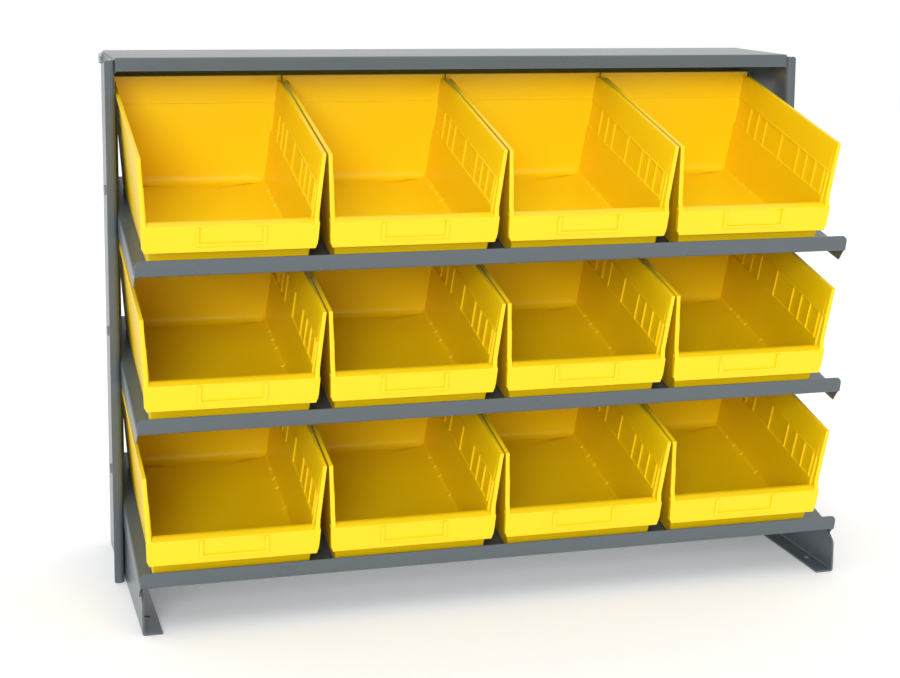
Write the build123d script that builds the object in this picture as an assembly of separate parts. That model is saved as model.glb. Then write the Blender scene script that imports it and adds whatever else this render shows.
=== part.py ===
from build123d import *
import math
import os

# Bench rack for twelve moulded shelf bins. Sheet-steel uprights, one flat top shelf,
# three shelves that slope down to the front, two feet, and the bolts and nuts that join them.
# Millimetres. X runs along the shelves, Y runs to the back and Z runs up.
# The origin lies on the bench, midway between the four anchor holes of the feet.

# Driving dimensions of the frame
overall_width = 914.0
overall_height = 659.0
upright_thickness = 1.9
upright_depth = 172.0
upright_height = 656.0
upright_front_y = 22.0
upright_flange = 10.5
upright_bend = 6.0
upright_corner = 3.0
upright_return = 20.0
upright_return_gap = 0.4

shelf_thickness = 1.2
shelf_bend = 2.6
seat_gap = 0.1
top_lip = 16.5
top_side_flange = 19.0
top_rear_flange = 50.0
top_corner_relief = 2.4
top_bolt_drop = 9.5
top_bolt_setback = (22.0, 149.0)

shelf_slope = 13.0
shelf_depth = 336.0
shelf_lip = 20.5
shelf_lip_corner = 7.0
shelf_flange_front = (2.6, 12.5)
shelf_side_flange = (18.0, 30.0)
shelf_rear_flange = 16.0
shelf_rear_relief = 6.0
shelf_lip_y = -165.5
lowest_lip_z = 54.5
shelf_pitch = 183.5
shelf_bolt_depth = (215.0, 311.0)
shelf_bolt_drop = 8.0
shelf_names = ("lower", "middle", "upper")

foot_thickness = 2.5
foot_length = 340.0
foot_width = 27.0
foot_bend = 4.0
foot_nose_height = 40.0
foot_nose_run = 25.0
foot_under_deck = 2.6
anchor_radius = 4.5
anchor_spacing_x = 866.0
anchor_spacing_y = 229.0

# Driving dimensions of the fasteners
bolt_radius = 3.15
bolt_hole_radius = 3.6
bolt_length = 19.0
head_across_flats = 11.1
head_height = 4.6
nut_height = 5.6
small_round_sides = 8

# Driving dimensions of a bin, in its own frame: X across, Y back from the front posts,
# Z up from its underside
bin_width = 214.0
bin_length = 298.0
bin_height = 141.0
bin_back_height = 144.0
bin_wall = 2.4
bin_low_wall = 3.4
bin_floor = 3.0
bin_base_width = 183.5
bin_top_width = 209.6
bin_base_setback = 7.0
bin_back_draft = 3.0
bin_back_corner = 4.0
bin_rim_height = 3.2
bin_rim_end = 284.0
bin_rim_dip = 4.5
bin_front_thickness = 3.2
bin_front_low = 27.0
bin_front_high = 61.0
apron_proud = 5.0
apron_slant = 2.2
bin_front_low_width = 203.0
bin_front_corner = 4.0
bin_post = 4.6
bin_step_height = 104.0
bin_ear_low = 134.0
label_width = (78.0, 68.0)
label_low = (36.0, 39.5)
label_high = 56.0
label_proud = 1.3
rib_middle = 147.5
rib_offsets = (-103.0, -77.0, -51.5, 0.0, 51.5, 77.0, 103.0)
rib_width = 2.0
rib_low = 70.0
pocket_depth = 0.9

# Where the bins stand on a deck
bins_per_shelf = 4
bin_gap = 2.3
row_side_gap = 0.4
bin_front_setback = 6.5
bin_deck_gap = 0.3

# Sizes worked out from the driving dimensions
web_outer_x = overall_width / 2 - upright_flange
web_inner_x = web_outer_x - upright_thickness
shelf_half = web_inner_x - seat_gap
flange_inner_x = shelf_half - shelf_thickness
foot_outer_x = flange_inner_x - seat_gap
upright_back_y = upright_front_y + upright_depth
slope_sine = math.sin(math.radians(shelf_slope))
slope_cosine = math.cos(math.radians(shelf_slope))
top_back_y = upright_back_y - upright_thickness - upright_return_gap
bin_side_slope = (bin_top_width - bin_base_width) / 2 / bin_height


def shelf_level(name):
    """Height of the bottom edge of a sloped shelf's lip."""
    return lowest_lip_z + shelf_pitch * shelf_names.index(name)


def shelf_place(name):
    """Frame of a sloped shelf: Y runs back along its deck from the lip's bottom edge."""
    return Location((0, shelf_lip_y, shelf_level(name)), (shelf_slope, 0, 0))


def shelf_bolt_centres(name):
    """Centres of a sloped shelf's bolts in the side view, as (Y, Z)."""
    centres = []
    for depth in shelf_bolt_depth:
        y = shelf_lip_y + depth * slope_cosine + shelf_bolt_drop * slope_sine
        z = shelf_level(name) + depth * slope_sine - shelf_bolt_drop * slope_cosine
        centres.append((y, z))
    return centres


def top_bolt_centres():
    """Centres of the top shelf's bolts in the side view, as (Y, Z)."""
    return [(upright_front_y + back, overall_height - top_bolt_drop) for back in top_bolt_setback]


def all_bolt_centres():
    centres = top_bolt_centres()
    for name in shelf_names:
        centres += shelf_bolt_centres(name)
    return centres


def small_bar(radius, length):
    """A thin round bar along Z, with few flats, because the rack has so many bolts and holes."""
    return extrude(RegularPolygon(radius, small_round_sides), length / 2, both=True)


def cross_holes(centres):
    """Bars along X, as long as the rack is wide, to drill matching holes."""
    bar = small_bar(bolt_hole_radius, overall_width)
    return [Location((0, y, z), (0, 90, 0)) * bar for y, z in centres]


def outline_face(points, plane):
    """A flat face through points, in a plane."""
    return plane * make_face(Polyline(*points, close=True))


def bent_profile(plane, points, corners):
    """A face through points in a plane, with some corners rounded: {index: radius}."""
    with BuildSketch(plane) as sketch:
        with BuildLine():
            Polyline(*points, close=True)
        make_face()
        for index, radius in corners.items():
            corner = sketch.vertices().sort_by_distance(points[index])[0]
            fillet(corner, radius)
    return sketch.sketch


def upright():
    """Right upright: a web with its front edge folded outward and its rear edge inward."""
    x_in, x_out, x_edge = web_inner_x, web_outer_x, overall_width / 2
    x_return = x_out - upright_return
    y_front, y_back, t = upright_front_y, upright_back_y, upright_thickness
    points = [(x_return, y_back), (x_out, y_back), (x_out, y_front + t), (x_edge, y_front + t),
              (x_edge, y_front), (x_in, y_front), (x_in, y_back - t), (x_return, y_back - t)]
    bends = {1: shelf_bend, 2: upright_bend - t, 5: upright_bend, 6: shelf_bend - t}
    body = extrude(bent_profile(Plane.XY, points, bends), upright_height)
    corners = [edge for edge in body.edges().filter_by(Axis.Y)
               if edge.center().X > x_edge - 0.1]
    body = fillet(corners, upright_corner)
    return body - cross_holes(all_bolt_centres())


def top_shelf():
    """Flat top shelf: a shallow tray upside down, with notched front corners."""
    t, half = shelf_thickness, shelf_half
    top, y_front, y_back = overall_height, upright_front_y + seat_gap, top_back_y
    low = top - top_side_flange
    channel_points = [(-half, low), (-half, top), (half, top), (half, low),
                      (half - t, low), (half - t, top - t), (-half + t, top - t), (-half + t, low)]
    bends = {1: shelf_bend, 2: shelf_bend, 5: shelf_bend - t, 6: shelf_bend - t}
    channel = bent_profile(Plane.XZ.offset(-y_back), channel_points, bends)
    tray = extrude(channel, y_back - y_front - top_corner_relief)
    deck_points = [(y_front, top - top_lip), (y_front, top), (y_back, top),
                   (y_back, top - top_rear_flange), (y_back - t, top - top_rear_flange),
                   (y_back - t, top - t), (y_front + t, top - t), (y_front + t, top - top_lip)]
    deck_bends = {1: shelf_bend, 2: shelf_bend, 5: shelf_bend - t, 6: shelf_bend - t}
    inset = half - top_corner_relief
    deck = extrude(bent_profile(Plane.YZ.offset(-inset), deck_points, deck_bends), 2 * inset)
    return tray + deck - cross_holes(top_bolt_centres())


def sloped_shelf(name):
    """Sloped shelf: deck, lip turned up at the front, flanges turned down at the sides."""
    t, half, depth = shelf_thickness, shelf_half, shelf_depth
    deck_points = [(0, shelf_lip), (0, 0), (depth, 0), (depth, t - shelf_rear_flange),
                   (depth + t, t - shelf_rear_flange), (depth + t, t), (t, t), (t, shelf_lip)]
    bends = {1: shelf_bend, 2: shelf_bend - t, 5: shelf_bend, 6: shelf_bend - t}
    deck = extrude(bent_profile(Plane.YZ.offset(-half), deck_points, bends), 2 * half)
    lip_corners = [edge for edge in deck.edges().filter_by(Axis.Y)
                   if edge.center().Z > shelf_lip - 0.1]
    deck = fillet(lip_corners, shelf_lip_corner)
    for x in (-half, half):
        place = Location((x, depth + t, 0))
        deck -= place * Box(2 * shelf_rear_relief, 2 * shelf_bend, 3 * shelf_rear_flange)
    start, nose = shelf_flange_front
    drop_front, drop_back = shelf_side_flange
    rear = depth - shelf_bend
    side_points = [(start, 0), (nose, t - drop_front), (rear, t - drop_back), (rear, 0)]
    side = outline_face(side_points, Plane.YZ)
    flanges = [Location((x, 0, 0)) * extrude(side, t) for x in (-half, half - t)]
    shelf = deck + flanges
    return shelf_place(name) * shelf - cross_holes(shelf_bolt_centres(name))


def foot():
    """Right foot: an angle whose tall leg carries the lowest shelf and is drilled with it."""
    t, x_out = foot_thickness, foot_outer_x
    half = foot_length / 2
    x_in = web_outer_x - foot_width
    angle_points = [(x_out, 0), (x_in, 0), (x_in, t), (x_out - t, t),
                    (x_out - t, upright_height / 3), (x_out, upright_height / 3)]
    bends = {0: foot_bend, 3: foot_bend - t}
    angle = extrude(bent_profile(Plane.XZ.offset(half), angle_points, bends), -foot_length)

    def deck_underside(y):
        return lowest_lip_z - foot_under_deck + (y - shelf_lip_y) * math.tan(math.radians(shelf_slope))

    side_points = [(-half, 0), (half, 0), (half, deck_underside(half)),
                   (foot_nose_run - half, deck_underside(foot_nose_run - half)),
                   (-half, foot_nose_height)]
    side = outline_face(side_points, Plane.YZ)
    body = angle & extrude(side, overall_width)
    anchors = [Location((anchor_spacing_x / 2, y, 0)) * Cylinder(anchor_radius, 6 * t)
               for y in (-anchor_spacing_y / 2, anchor_spacing_y / 2)]
    return body - anchors - cross_holes(shelf_bolt_centres("lower"))


def bolt():
    """Hexagon bolt. Its head stands on Z 0 and its thread points down."""
    shank = Location((0, 0, -bolt_length / 2)) * small_bar(bolt_radius, bolt_length)
    head = extrude(RegularPolygon(head_across_flats / 2, 6, major_radius=False), head_height)
    return shank + head


def nut():
    """Hexagon nut. The face that is clamped lies at Z 0."""
    body = extrude(RegularPolygon(head_across_flats / 2, 6, major_radius=False), nut_height)
    return body - small_bar(bolt_radius, 3 * nut_height)


def fastener_set(piece, centres, x_face, outward):
    """Copies of a bolt or nut on both sides of the rack, standing on the faces at x_face."""
    copies = []
    for side in (1, -1):
        turn = 90 if side * outward > 0 else -90
        for y, z in centres:
            copies.append(Location((side * x_face, y, z), (0, turn, 0)) * piece)
    return Compound(children=copies)


def bin_outer_half(z):
    """Half the width of a bin's outer walls at a height above its underside."""
    return bin_base_width / 2 + z * bin_side_slope


def tub_block(z_low, z_high, inset, front):
    """A tapered block between two heights, inset from the tub's outer skin."""
    half_low = bin_outer_half(z_low) - inset
    half_high = bin_outer_half(z_high) - inset
    back_low = bin_length - bin_back_draft * (1 - z_low / bin_height) - inset
    back_high = bin_length - bin_back_draft * (1 - z_high / bin_height) - inset
    across = [(-half_low, z_low), (half_low, z_low), (half_high, z_high), (-half_high, z_high)]
    along = [(front, z_low), (back_low, z_low), (back_high, z_high), (front, z_high)]
    block = extrude(outline_face(across, Plane.XZ), -bin_length)
    block &= extrude(outline_face(along, Plane.YZ.offset(-bin_width)), 2 * bin_width)
    rear = [edge for edge in block.edges()
            if edge.center().Y > bin_length / 2 and abs(edge.tangent_at(0.5).Z) > 0.9]
    return fillet(rear, bin_back_corner - inset)


def rib_pockets():
    """Shallow pockets inside both side walls. The ribs between them hold cross dividers."""
    low, high = rib_low, bin_step_height
    bottom_x = bin_outer_half(low) - bin_low_wall + pocket_depth
    top_x = bin_outer_half(high) - bin_low_wall + pocket_depth
    points = [(0, low), (bottom_x, low), (top_x, high), (0, high)]
    pockets = []
    for near, far in zip(rib_offsets, rib_offsets[1:]):
        start = rib_middle + near + rib_width / 2
        end = rib_middle + far - rib_width / 2
        right = extrude(outline_face(points, Plane.XZ.offset(-start)), start - end)
        pockets += [right, mirror(right, Plane.YZ)]
    return pockets


def post_half(z):
    """Half the width over the front posts, and over the apron below them, at a height."""
    rise = (z - bin_front_low) / (bin_height - bin_front_low)
    return (bin_front_low_width + (bin_width - bin_front_low_width) * rise) / 2


def bin_posts():
    """The two front posts. They frame the opening, and are wider below the side walls' step."""
    high, step, top, t = bin_front_high, bin_step_height, bin_height, bin_wall
    wide_post = bin_post + bin_low_wall - bin_wall
    plate = [(post_half(high - t), high - t), (post_half(top), top)]
    plate = [(-x, z) for x, z in plate] + plate[::-1]
    window = [(post_half(high) - wide_post, high), (post_half(step) - wide_post, step),
              (post_half(step) - bin_post, step), (post_half(top) - bin_post, top)]
    window = [(-x, z) for x, z in window] + window[::-1]
    posts = outline_face(plate, Plane.XZ) - outline_face(window, Plane.XZ)
    return extrude(posts, -bin_front_thickness)


def bin_apron():
    """The front wall folded over: it stands proud of the posts, is hollow behind and open
    below, and carries the label frame."""
    low, high, cut, t = bin_front_low, bin_front_high, bin_front_corner, bin_wall
    half_low, half_high = post_half(low), post_half(high)
    face = [(half_low - cut, low), (half_low, low + cut), (half_high, high)]
    face = [(-x, z) for x, z in face] + face[::-1]
    inside = [(half_low - t, low), (half_high - t, high - t)]
    inside = [(-x, z) for x, z in inside] + inside[::-1]
    side = [(-apron_proud, low), (-apron_proud, high - apron_slant), (bin_front_thickness, high),
            (bin_front_thickness, low)]
    front_plane = Plane.XZ.offset(apron_proud)
    apron = extrude(outline_face(face, front_plane), -2 * bin_base_setback)
    apron &= extrude(outline_face(side, Plane.YZ.offset(-bin_width)), 2 * bin_width)
    hollow_plane = Plane.XZ.offset(apron_proud - bin_front_thickness)
    apron -= extrude(outline_face(inside, hollow_plane), -2 * bin_base_setback)
    outer_half, inner_half = label_width[0] / 2, label_width[1] / 2
    frame = [(-outer_half, label_high), (-outer_half, label_low[0]), (outer_half, label_low[0]),
             (outer_half, label_high), (inner_half, label_high), (inner_half, label_low[1]),
             (-inner_half, label_low[1]), (-inner_half, label_high)]
    return apron + extrude(outline_face(frame, front_plane), label_proud)


def bin_rims():
    """The side rims, folded out to the full width, and the ears of the taller back wall."""
    low = bin_height - bin_rim_height
    half = bin_width / 2
    inner = bin_outer_half(low) - bin_wall / 2
    middle_y = (bin_front_thickness + bin_rim_end) / 2
    rim = Box(half - inner, bin_rim_end - bin_front_thickness, bin_rim_height)
    rims = [Location((side * (half + inner) / 2, middle_y, bin_height - bin_rim_height / 2)) * rim
            for side in (-1, 1)]
    ear_place = Location((0, bin_length - bin_wall / 2, (bin_ear_low + bin_back_height) / 2))
    return rims + [ear_place * Box(2 * half, bin_wall, bin_back_height - bin_ear_low)]


def storage_bin():
    """One shelf bin: a tapered tub, open on top and low at the front."""
    base = tub_block(0, bin_height, 0, bin_base_setback)
    overhang = tub_block(bin_front_low, bin_height, 0, 0)
    overhang -= tub_block(bin_front_low, bin_front_high - bin_wall, bin_wall, -bin_wall)
    tub = base + overhang
    tub -= tub_block(bin_floor, bin_step_height, bin_low_wall, bin_base_setback + bin_wall)
    tub -= tub_block(bin_front_high, bin_step_height, bin_low_wall, bin_front_thickness)
    tub -= tub_block(bin_step_height, bin_height, bin_wall, bin_front_thickness)
    tub -= rib_pockets()
    low, high, step = bin_front_high, bin_height, bin_step_height
    mouth = [(bin_outer_half(low) - bin_low_wall, low), (bin_outer_half(step) - bin_low_wall, step),
             (bin_outer_half(step) - bin_wall, step), (bin_outer_half(high) - bin_wall, high)]
    mouth = [(-x, z) for x, z in mouth] + mouth[::-1]
    tub -= extrude(outline_face(mouth, Plane.XZ), -3 * bin_front_thickness)
    back_wall_y = bin_length - bin_wall
    dip_points = [(bin_rim_end, high), (back_wall_y, high - bin_rim_dip), (back_wall_y, high)]
    tub -= extrude(outline_face(dip_points, Plane.YZ.offset(-bin_width)), 2 * bin_width)
    return tub + bin_posts() + bin_apron() + bin_rims()


def bin_place(name, column):
    """Where a bin stands: on its shelf's deck, just behind the lip."""
    x = row_side_gap - flange_inner_x + bin_width / 2 + column * (bin_width + bin_gap)
    seat = Location((x, bin_front_setback, shelf_thickness + bin_deck_gap))
    return shelf_place(name) * seat


def save(node, shape):
    shape.label = node
    export_step(shape, os.path.join("parts", node + ".step"))


def main():
    os.makedirs("parts", exist_ok=True)
    right_upright = upright()
    save("right_upright", right_upright)
    save("left_upright", mirror(right_upright, Plane.YZ))
    save("top_shelf", top_shelf())
    right_foot = foot()
    save("right_foot", right_foot)
    save("left_foot", mirror(right_foot, Plane.YZ))
    save("top_shelf_bolts", fastener_set(bolt(), top_bolt_centres(), web_outer_x, 1))
    save("top_shelf_nuts", fastener_set(nut(), top_bolt_centres(), flange_inner_x, -1))
    one_bin = storage_bin()
    for name in shelf_names:
        save(name + "_shelf", sloped_shelf(name))
        centres = shelf_bolt_centres(name)
        nut_face = foot_outer_x - foot_thickness if name == "lower" else flange_inner_x
        save(name + "_shelf_bolts", fastener_set(bolt(), centres, web_outer_x, 1))
        save(name + "_shelf_nuts", fastener_set(nut(), centres, nut_face, -1))
        for column in range(bins_per_shelf):
            save(f"{name}_bin_{column + 1}", bin_place(name, column) * one_bin)


main()
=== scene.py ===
import math

import bmesh
import bpy
import numpy as np
from mathutils import Matrix, Vector


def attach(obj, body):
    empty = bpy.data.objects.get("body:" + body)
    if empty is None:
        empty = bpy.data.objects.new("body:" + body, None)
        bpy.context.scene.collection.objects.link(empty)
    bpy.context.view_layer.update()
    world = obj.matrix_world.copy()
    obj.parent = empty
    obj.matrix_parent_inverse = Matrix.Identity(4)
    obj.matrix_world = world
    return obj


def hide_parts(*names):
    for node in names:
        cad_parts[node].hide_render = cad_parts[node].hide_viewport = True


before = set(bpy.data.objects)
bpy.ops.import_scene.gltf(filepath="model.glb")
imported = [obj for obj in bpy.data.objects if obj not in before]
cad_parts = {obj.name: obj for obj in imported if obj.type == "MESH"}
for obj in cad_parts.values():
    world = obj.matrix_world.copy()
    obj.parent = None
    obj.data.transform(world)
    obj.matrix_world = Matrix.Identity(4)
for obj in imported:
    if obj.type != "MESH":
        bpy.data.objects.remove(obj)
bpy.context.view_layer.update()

# The camera stands in front of the rack, to the left and a little above its top. The lens is a
# short telephoto one, and its shift only sets the rack in the frame as the photograph has it.
# Width, focal length and shift are in pixels.
IMAGE_WIDTH = 900
FOCAL_PIXELS = 1869.3
CENTRE_SHIFT = (60, -100)
SENSOR_MM = 36
CAMERA_PLACE = (-0.6559, -2.276, 0.7984)
CAMERA_TURN, CAMERA_DIP, CAMERA_ROLL = (math.radians(a) for a in (17.24, 8.91, 0.75))

camera_data = bpy.data.cameras.new("camera")
camera_data.sensor_width = SENSOR_MM
camera_data.lens = FOCAL_PIXELS / IMAGE_WIDTH * SENSOR_MM
camera_data.shift_x = -CENTRE_SHIFT[0] / IMAGE_WIDTH
camera_data.shift_y = CENTRE_SHIFT[1] / IMAGE_WIDTH
camera_data.clip_end = 60
camera = bpy.data.objects.new("camera", camera_data)
bpy.context.scene.collection.objects.link(camera)
ahead = Vector((math.sin(CAMERA_TURN) * math.cos(CAMERA_DIP),
                math.cos(CAMERA_TURN) * math.cos(CAMERA_DIP), -math.sin(CAMERA_DIP)))
right = Vector((math.cos(CAMERA_TURN), -math.sin(CAMERA_TURN), 0))
above = right.cross(ahead)
side_axis = right * math.cos(CAMERA_ROLL) + above * math.sin(CAMERA_ROLL)
up_axis = above * math.cos(CAMERA_ROLL) - right * math.sin(CAMERA_ROLL)
camera_axes = Matrix((side_axis, up_axis, -ahead)).transposed().to_4x4()
camera.matrix_world = Matrix.Translation(CAMERA_PLACE) @ camera_axes
bpy.context.scene.camera = camera
bpy.context.scene.view_settings.view_transform = "Standard"

# The rack stands on a white translucent acrylic table, lit a little from below. A large soft box
# far in front, a little above and to the left, is the key light, and a wide one overhead fills in.
# The room is white behind the rack and dimmer elsewhere, but the camera sees only white.
TOUCH, FINE_TOUCH = 1e-6, 1e-7
FLOOR_HALF = 6.0
FLOOR_ROUGHNESS, FLOOR_GLOW = 0.9, 0.15
BACK_WALL, DIM_ROOM = 1.0, 0.58
WALL_FADE = (-0.1, 0.6)


def feed(tree, made, inputs):
    """Sets a node's inputs to values, or links them to output sockets."""
    for name, value in inputs.items():
        if isinstance(value, bpy.types.NodeSocket):
            tree.links.new(value, made.inputs[name])
        else:
            made.inputs[name].default_value = value


def node(tree, kind, settings=None, inputs=None):
    """Adds a shader node, sets its settings and then its inputs."""
    made = tree.nodes.new(kind)
    for name, value in (settings or {}).items():
        setattr(made, name, value)
    feed(tree, made, inputs or {})
    return made


def colour(code):
    """Turns an sRGB hex code to linear RGBA."""
    parts = [int(code[i:i + 2], 16) / 255 for i in (0, 2, 4)]
    return [p / 12.92 if p <= 0.04045 else ((p + 0.055) / 1.055) ** 2.4 for p in parts] + [1]


def new_material(name):
    """An empty node material with its output and its Principled shader."""
    material = bpy.data.materials.new(name)
    material.use_nodes = True
    tree = material.node_tree
    tree.nodes.clear()
    shader = node(tree, "ShaderNodeBsdfPrincipled")
    node(tree, "ShaderNodeOutputMaterial", inputs={"Surface": shader.outputs["BSDF"]})
    return material, tree, shader


def noise(tree, cell_mm, detail):
    """Smooth noise fixed to the object, with cells about as wide as given."""
    place = node(tree, "ShaderNodeTexCoord").outputs["Object"]
    return node(tree, "ShaderNodeTexNoise", {}, {"Vector": place, "Scale": 1000 / cell_mm,
                                                 "Detail": detail}).outputs["Fac"]


def blend(tree, factor, codes):
    """A colour between two hex codes."""
    return node(tree, "ShaderNodeMix", {"data_type": "RGBA"},
                {"Factor": factor, 6: colour(codes[0]), 7: colour(codes[1])}).outputs[2]


def between(tree, value, low, high):
    """A value from 0 to 1 turned to one from low to high."""
    return node(tree, "ShaderNodeMapRange", {}, {"Value": value, "To Min": low,
                                                 "To Max": high}).outputs["Result"]


def relief(tree, height, strength, depth_mm):
    """A normal tilted as fine relief of a depth would tilt it."""
    return node(tree, "ShaderNodeBump", {}, {"Height": height, "Strength": strength,
                                             "Distance": depth_mm / 1000}).outputs["Normal"]


def vectors(*coordinates):
    """Points or edges from their coordinates, which are numbers or arrays of fitting shapes."""
    return np.stack(np.broadcast_arrays(*(np.asarray(c, float) for c in coordinates)), -1)


def grid_mesh(name, patches, merge=TOUCH, outward=False):
    """One mesh of several grids, each an array of rows x columns x 3 in metres. Points nearer
    than the merge distance become one. If outward, all faces look out."""
    points, quads, start = [], [], 0
    for patch in patches:
        rows, columns = patch.shape[:2]
        index = np.arange(rows * columns).reshape(rows, columns) + start
        quads.append(np.stack([index[:-1, :-1], index[:-1, 1:], index[1:, 1:], index[1:, :-1]],
                              -1).reshape(-1, 4))
        points.append(patch.reshape(-1, 3))
        start += rows * columns
    mesh = bpy.data.meshes.new(name)
    mesh.from_pydata(np.concatenate(points).tolist(), [], np.concatenate(quads).tolist())
    build = bmesh.new()
    build.from_mesh(mesh)
    bmesh.ops.remove_doubles(build, verts=build.verts, dist=merge)
    bmesh.ops.dissolve_degenerate(build, edges=build.edges, dist=merge)
    if outward:
        bmesh.ops.recalc_face_normals(build, faces=build.faces)
    build.to_mesh(mesh)
    build.free()
    return mesh


def place_mesh(name, mesh, material, smooth_deg=35):
    """Links a mesh as an object at the origin, with one material, smooth below an angle."""
    mesh.materials.append(material)
    mesh.polygons.foreach_set("use_smooth", np.ones(len(mesh.polygons), bool))
    mesh.set_sharp_from_angle(angle=math.radians(smooth_deg))
    piece = bpy.data.objects.new(name, mesh)
    bpy.context.scene.collection.objects.link(piece)
    return piece


floor_material, floor_tree, floor_shader = new_material("pale_translucent_acrylic")
feed(floor_tree, floor_shader, {"Base Color": colour("fafafa"), "Roughness": FLOOR_ROUGHNESS,
                                "Emission Color": (1, 1, 1, 1), "Emission Strength": FLOOR_GLOW})
span = np.linspace(-FLOOR_HALF, FLOOR_HALF, 3)
floor_mesh = grid_mesh("floor", [vectors(span, span[:, None], 0)])
floor = place_mesh("floor", floor_mesh, floor_material)

world = bpy.data.worlds.new("white_room")
world.use_nodes = True
room = world.node_tree
room.nodes.clear()
view_ray = node(room, "ShaderNodeTexCoord").outputs["Generated"]
ray_parts = node(room, "ShaderNodeSeparateXYZ", {}, {"Vector": view_ray})
wall_share = node(room, "ShaderNodeMapRange", {}, {
    "Value": ray_parts.outputs["Y"], "From Min": WALL_FADE[0], "From Max": WALL_FADE[1],
    "To Min": DIM_ROOM, "To Max": BACK_WALL})
camera_ray = node(room, "ShaderNodeLightPath").outputs["Is Camera Ray"]
brightness = node(room, "ShaderNodeMath", {"operation": "MAXIMUM"},
                  {0: wall_share.outputs["Result"], 1: camera_ray})
background = node(room, "ShaderNodeBackground", {}, {"Color": (1, 1, 1, 1),
                                                     "Strength": brightness.outputs["Value"]})
node(room, "ShaderNodeOutputWorld", {}, {"Surface": background.outputs["Background"]})
bpy.context.scene.world = world


def soft_light(name, turn_deg, rise_deg, spread_deg, strength):
    """A far, large soft box: its light comes evenly from a turn to the left of the rack's front
    and a rise above the floor, and its spread is how large it looks from the rack."""
    data = bpy.data.lights.new(name, "SUN")
    data.angle = math.radians(spread_deg)
    data.energy = strength
    lamp = bpy.data.objects.new(name, data)
    turn, rise = math.radians(turn_deg), math.radians(rise_deg)
    towards = Vector((math.sin(turn) * math.cos(rise), math.cos(turn) * math.cos(rise),
                      -math.sin(rise)))
    lamp.rotation_mode = "QUATERNION"
    lamp.rotation_quaternion = towards.to_track_quat("-Z", "Y")
    bpy.context.scene.collection.objects.link(lamp)


soft_light("front_key", turn_deg=20, rise_deg=18, spread_deg=26, strength=1.75)
soft_light("overhead", turn_deg=10, rise_deg=68, spread_deg=60, strength=0.5)

# Left and right upright: cold-rolled sheet steel, 1.9 mm thick, sheared to size, folded outward
# along the front edge and inward along the rear edge. Powder-coated grey. They stand on the bench,
# and every shelf is bolted between them.
UPRIGHT_HEIGHT = 0.656
UPRIGHT_THICKNESS = 0.0019
UPRIGHT_FRONT, UPRIGHT_BACK = 0.022, 0.194
WEB_INNER = 0.4446
RETURN_EDGE = 0.4265
FLANGE_EDGE = 0.457
UPRIGHT_BEND, RETURN_BEND = 0.006, 0.0007
FLANGE_CORNER = 0.003
SHEARED_ROUND, SHEARED_DEG = 0.00025, 50

# A bend is drawn with BEND_STEPS points. A path's start and its first bend take FIRST_BEND.
BEND_STEPS = 7
FIRST_BEND = 1 + BEND_STEPS

# Powder coat is baked on and flows out to a satin skin, so the eye sees an even grey, a soft
# sheen that brightens at a low angle, and the faint dimples called orange peel.
PAINT_CODES = ("535c61", "576065")
CLOUD_MM, PEEL_MM, PEEL_HEIGHT_MM, PEEL_STRENGTH = 90, 2.5, 0.006, 0.5
SATIN_ROUGHNESS = (0.26, 0.30)
satin_grey, grey_tree, grey_shader = new_material("satin_grey_powder_coat")
cloud = noise(grey_tree, CLOUD_MM, 3.0)
peel = noise(grey_tree, PEEL_MM, 1.0)
feed(grey_tree, grey_shader, {"Base Color": blend(grey_tree, cloud, PAINT_CODES),
                              "Roughness": between(grey_tree, cloud, *SATIN_ROUGHNESS),
                              "Normal": relief(grey_tree, peel, PEEL_STRENGTH, PEEL_HEIGHT_MM)})


def folded_path(corners, radii, steps=BEND_STEPS):
    """A flat path whose inner corners are bends. Each arc turns evenly from one touching point
    to the other about the bend's centre, which lies on the line that halves the corner."""
    corners = np.array(corners, float)
    runs = [corners[:1]]
    for before, corner, after, radius in zip(corners, corners[1:], corners[2:], radii):
        back = (before - corner) / np.linalg.norm(before - corner)
        onward = (after - corner) / np.linalg.norm(after - corner)
        half = math.acos(float(back @ onward)) / 2
        middle = (back + onward) / np.linalg.norm(back + onward)
        centre = corner + middle * radius / math.sin(half)
        first = corner + back * radius / math.tan(half) - centre
        last = corner + onward * radius / math.tan(half) - centre
        sweep = math.pi - 2 * half
        share = np.linspace(0, 1, steps)[:, None]
        arc = np.sin((1 - share) * sweep) * first + np.sin(share * sweep) * last
        runs.append(centre + arc / math.sin(sweep))
    runs.append(corners[-1:])
    return np.concatenate(runs)


def corner_inset(distance, radius):
    """How far a rounded corner lies inside its square one, at a distance from the edge:
    the radius less the height of a circle there, and nothing past the radius."""
    left = np.clip(radius - distance, 0, radius)
    return radius - np.sqrt(radius ** 2 - left ** 2)


def corner_steps(radius, count=6):
    """Distances from the edge that fall evenly round a rounded corner."""
    return radius * (1 - np.cos(np.linspace(0, math.pi / 2, count)))


def sheet_metal(name, patches, thickness, facing, material):
    """A formed sheet: its skin looks the way of facing, its thickness lies behind the skin, and
    its sheared edges are slightly rounded."""
    mesh = grid_mesh(name, patches, outward=True)
    normals = np.empty(len(mesh.polygons) * 3)
    mesh.polygons.foreach_get("normal", normals)
    areas = np.empty(len(mesh.polygons))
    mesh.polygons.foreach_get("area", areas)
    if (normals.reshape(-1, 3) * areas[:, None]).sum(0) @ np.array(facing) < 0:
        mesh.flip_normals()
    piece = place_mesh(name, mesh, material, SHEARED_DEG)
    wall = piece.modifiers.new("thickness", "SOLIDIFY")
    wall.thickness = thickness
    wall.offset = -1
    wall.use_even_offset = True
    wall.use_quality_normals = True
    round_edge = piece.modifiers.new("edge", "BEVEL")
    round_edge.width = SHEARED_ROUND
    round_edge.segments = 2
    round_edge.limit_method = "ANGLE"
    round_edge.angle_limit = math.radians(SHEARED_DEG)
    round_edge.harden_normals = True
    return piece


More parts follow.
